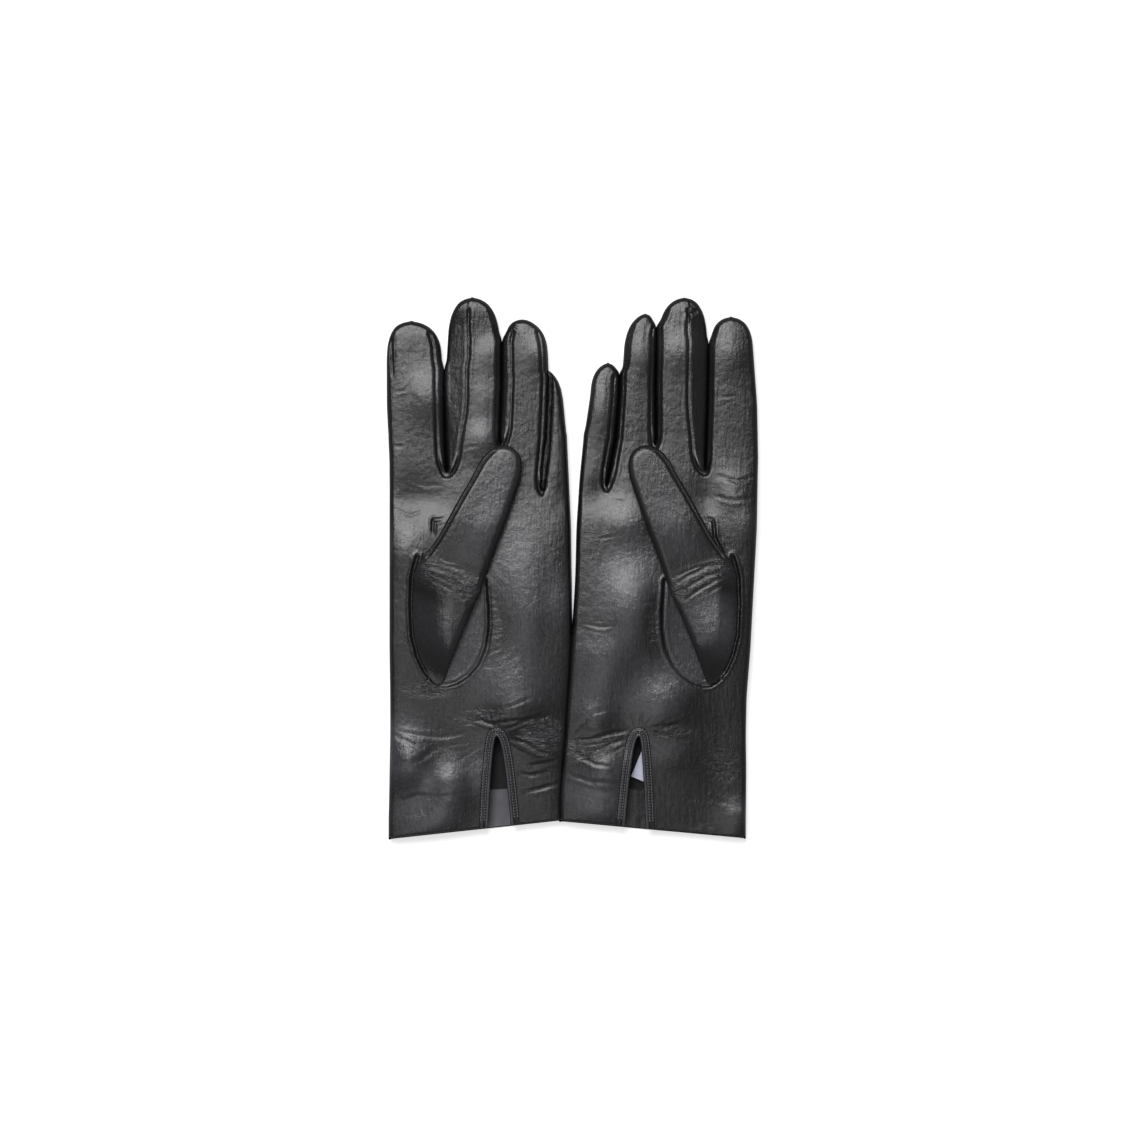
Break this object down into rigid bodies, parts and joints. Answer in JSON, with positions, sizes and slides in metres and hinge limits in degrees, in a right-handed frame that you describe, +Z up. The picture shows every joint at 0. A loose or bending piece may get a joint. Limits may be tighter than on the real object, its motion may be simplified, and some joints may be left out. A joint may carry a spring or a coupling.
{
  "type": "dress gloves",
  "caption": "Pair of wrist-length dress gloves in thin leather, lying palm up with the thumbs folded across the palms and an open vent in each cuff.",
  "frame": {"origin": "centre of the pair's footprint, at the height of the surface the gloves lie on", "axes": "+Z up out of the palms, +Y from the cuffs to the fingertips, +X from the left glove to the right one"},
  "size_m": [0.173, 0.2508, 0.0228],
  "materials": {
    "leather": "smooth black glove leather, soft satin sheen",
    "leather_inside": "black leather facing, matt",
    "silk": "black silk lining",
    "thread": "black sewing thread",
    "label": "white satin ribbon, blank"
  },
  "bodies": {
    "left_glove": {"left_trank": "leather", "left_quirks": "leather", "left_thumb_root": "leather", "left_hem_facing": "leather_inside", "left_vent_binding": "leather", "left_vent_thread": "thread", "left_palm_lining": "silk"},
    "right_glove": {"right_trank": "leather", "right_quirks": "leather", "right_thumb_root": "leather", "right_hem_facing": "leather_inside", "right_vent_binding": "leather", "right_vent_thread": "thread", "right_palm_lining": "silk", "right_care_label": "label"},
    "left_thumb": {"left_thumb": "leather", "left_thumb_lining": "silk"},
    "left_index": {"left_index_finger": "leather", "left_index_lining": "silk", "left_index_fourchette": "leather"},
    "left_middle": {"left_middle_finger": "leather", "left_middle_lining": "silk", "left_middle_fourchette_a": "leather", "left_middle_fourchette_b": "leather"},
    "left_ring": {"left_ring_finger": "leather", "left_ring_lining": "silk", "left_ring_fourchette_a": "leather", "left_ring_fourchette_b": "leather"},
    "left_little": {"left_little_finger": "leather", "left_little_lining": "silk", "left_little_fourchette": "leather"},
    "right_thumb": {"right_thumb": "leather", "right_thumb_lining": "silk"},
    "right_index": {"right_index_finger": "leather", "right_index_lining": "silk", "right_index_fourchette": "leather"},
    "right_middle": {"right_middle_finger": "leather", "right_middle_lining": "silk", "right_middle_fourchette_a": "leather", "right_middle_fourchette_b": "leather"},
    "right_ring": {"right_ring_finger": "leather", "right_ring_lining": "silk", "right_ring_fourchette_a": "leather", "right_ring_fourchette_b": "leather"},
    "right_little": {"right_little_finger": "leather", "right_little_lining": "silk", "right_little_fourchette": "leather"}
  },
  "joints": [
    {"name": "pair_apart", "type": "slide", "parent": "left_glove", "child": "right_glove", "axis": [1, 0, 0], "range_m": [0, 0.1]},
    {"name": "left_thumb_spread", "type": "hinge", "parent": "left_glove", "child": "left_thumb", "pos_m": [-0.05674, -0.00616, 0.0228], "axis": [0.9219, -0.3875, 0], "range_deg": [0, 90]},
    {"name": "left_index_curl", "type": "hinge", "parent": "left_glove", "child": "left_index", "pos_m": [-0.0724, 0.04715, 0.0105], "axis": [1, 0, 0], "range_deg": [0, 80]},
    {"name": "left_middle_curl", "type": "hinge", "parent": "left_glove", "child": "left_middle", "pos_m": [-0.04645, 0.06015, 0.0105], "axis": [1, 0, 0], "range_deg": [0, 80]},
    {"name": "left_ring_curl", "type": "hinge", "parent": "left_glove", "child": "left_ring", "pos_m": [-0.02275, 0.06015, 0.0105], "axis": [1, 0, 0], "range_deg": [0, 80]},
    {"name": "left_little_curl", "type": "hinge", "parent": "left_glove", "child": "left_little", "pos_m": [-0.00735, 0.03815, 0.0115], "axis": [1, 0, 0], "range_deg": [0, 80]},
    {"name": "right_thumb_spread", "type": "hinge", "parent": "right_glove", "child": "right_thumb", "pos_m": [0.05904, -0.00616, 0.0228], "axis": [0.9219, 0.3875, 0], "range_deg": [0, 90]},
    {"name": "right_index_curl", "type": "hinge", "parent": "right_glove", "child": "right_index", "pos_m": [0.0742, 0.04715, 0.0105], "axis": [1, 0, 0], "range_deg": [0, 80]},
    {"name": "right_middle_curl", "type": "hinge", "parent": "right_glove", "child": "right_middle", "pos_m": [0.0506, 0.06015, 0.0105], "axis": [1, 0, 0], "range_deg": [0, 80]},
    {"name": "right_ring_curl", "type": "hinge", "parent": "right_glove", "child": "right_ring", "pos_m": [0.0296, 0.06015, 0.0105], "axis": [1, 0, 0], "range_deg": [0, 80]},
    {"name": "right_little_curl", "type": "hinge", "parent": "right_glove", "child": "right_little", "pos_m": [0.0092, 0.04015, 0.0105], "axis": [1, 0, 0], "range_deg": [0, 80]}
  ]
}
